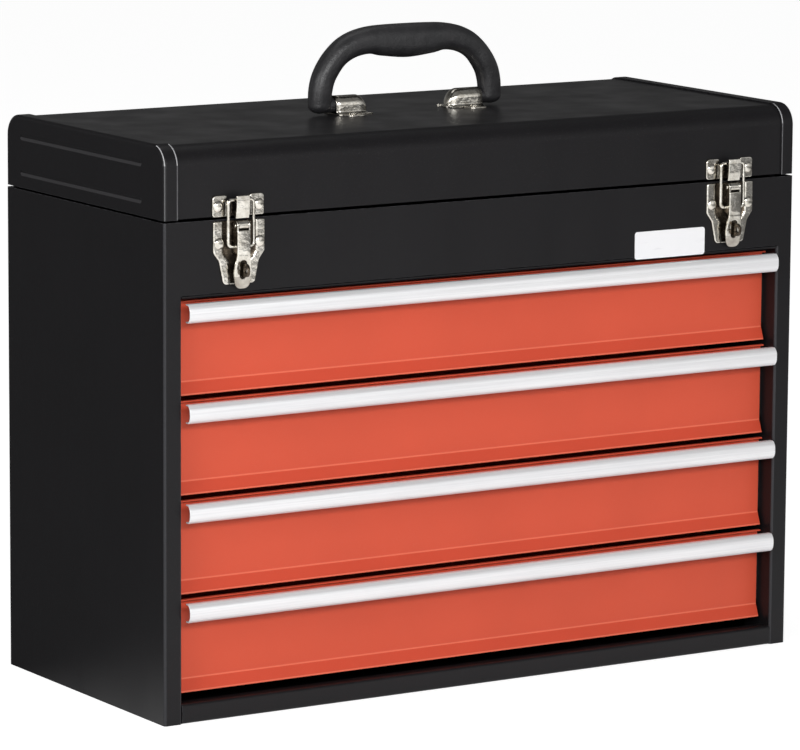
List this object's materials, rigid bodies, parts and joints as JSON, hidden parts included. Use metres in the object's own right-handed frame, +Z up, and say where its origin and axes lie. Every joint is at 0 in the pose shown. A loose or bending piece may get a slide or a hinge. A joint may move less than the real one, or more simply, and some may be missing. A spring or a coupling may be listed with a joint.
{
  "type": "portable tool box with drawers",
  "caption": "Portable steel tool box with stacked full-width drawers behind long pull strips, a hinged lid with a folding handle, and draw latches with padlock eyes.",
  "frame": {"origin": "middle of the case's underside, on the surface that the box stands on", "axes": "+Z up, -Y out of the front (the way the drawers open), +X to the right as seen from the front"},
  "size_m": [0.51, 0.2387, 0.4474],
  "materials": {
    "black_paint": "semi-gloss",
    "red_paint": "satin",
    "brushed_aluminium": "brushed",
    "nickel_plate": "bright",
    "zinc_steel": "satin",
    "grip_plastic": "matt"
  },
  "bodies": {
    "case": {"left_side_panel": "black_paint", "right_side_panel": "black_paint", "back_panel": "black_paint", "bottom_panel": "black_paint", "top_front_panel": "black_paint", "compartment_floor": "black_paint", "left_runner_post": "black_paint", "right_runner_post": "black_paint", "left_fixed_runners": "zinc_steel", "right_fixed_runners": "zinc_steel", "left_latch_base": "nickel_plate", "right_latch_base": "nickel_plate", "latch_lever_pins": "nickel_plate", "latch_base_rivets": "nickel_plate", "left_padlock_staple": "nickel_plate", "right_padlock_staple": "nickel_plate", "hinge_body_leaf": "black_paint", "hinge_pin": "zinc_steel"},
    "lid": {"lid_cover": "black_paint", "lid_left_end": "black_paint", "lid_right_end": "black_paint", "hinge_lid_leaf": "black_paint", "left_handle_bracket": "nickel_plate", "right_handle_bracket": "nickel_plate", "handle_bracket_rivets": "nickel_plate", "left_keeper": "nickel_plate", "right_keeper": "nickel_plate", "keeper_rivets": "nickel_plate"},
    "handle": {"handle_grip": "grip_plastic"},
    "left_lever_arm": {"left_lever": "nickel_plate"},
    "right_lever_arm": {"right_lever": "nickel_plate"},
    "left_bail_wire": {"left_bail": "nickel_plate"},
    "right_bail_wire": {"right_bail": "nickel_plate"},
    "drawer_1": {"drawer_1_tray": "red_paint", "drawer_1_front": "red_paint", "drawer_1_pull": "brushed_aluminium", "drawer_1_runners": "zinc_steel"},
    "drawer_2": {"drawer_2_tray": "red_paint", "drawer_2_front": "red_paint", "drawer_2_pull": "brushed_aluminium", "drawer_2_runners": "zinc_steel"},
    "drawer_3": {"drawer_3_tray": "red_paint", "drawer_3_front": "red_paint", "drawer_3_pull": "brushed_aluminium", "drawer_3_runners": "zinc_steel"},
    "drawer_4": {"drawer_4_tray": "red_paint", "drawer_4_front": "red_paint", "drawer_4_pull": "brushed_aluminium", "drawer_4_runners": "zinc_steel"}
  },
  "joints": [
    {"name": "lid_hinge", "type": "hinge", "parent": "case", "child": "lid", "pos_m": [0, 0.1116, 0.33775], "axis": [-1, 0, 0], "range_deg": [0, 100]},
    {"name": "handle_pivot", "type": "hinge", "parent": "lid", "child": "handle", "pos_m": [0, 0, 0.3935], "axis": [1, 0, 0], "range_deg": [-80, 80]},
    {"name": "left_latch_lever", "type": "hinge", "parent": "case", "child": "left_lever_arm", "pos_m": [-0.199, -0.1144, 0.333], "axis": [-1, 0, 0], "range_deg": [0, 90]},
    {"name": "left_latch_bail", "type": "hinge", "parent": "left_lever_arm", "child": "left_bail_wire", "pos_m": [-0.199, -0.1139, 0.319], "axis": [-1, 0, 0], "range_deg": [-56, 0]},
    {"name": "right_latch_lever", "type": "hinge", "parent": "case", "child": "right_lever_arm", "pos_m": [0.199, -0.1144, 0.333], "axis": [-1, 0, 0], "range_deg": [0, 90]},
    {"name": "right_latch_bail", "type": "hinge", "parent": "right_lever_arm", "child": "right_bail_wire", "pos_m": [0.199, -0.1139, 0.319], "axis": [-1, 0, 0], "range_deg": [-56, 0]},
    {"name": "drawer_1_slide", "type": "slide", "parent": "case", "child": "drawer_1", "axis": [0, -1, 0], "range_m": [0, 0.15]},
    {"name": "drawer_2_slide", "type": "slide", "parent": "case", "child": "drawer_2", "axis": [0, -1, 0], "range_m": [0, 0.15]},
    {"name": "drawer_3_slide", "type": "slide", "parent": "case", "child": "drawer_3", "axis": [0, -1, 0], "range_m": [0, 0.15]},
    {"name": "drawer_4_slide", "type": "slide", "parent": "case", "child": "drawer_4", "axis": [0, -1, 0], "range_m": [0, 0.15]}
  ],
  "couplings": [
    {"joint": "left_latch_bail", "follows": "left_latch_lever", "ratio": -0.62},
    {"joint": "right_latch_bail", "follows": "right_latch_lever", "ratio": -0.62}
  ]
}
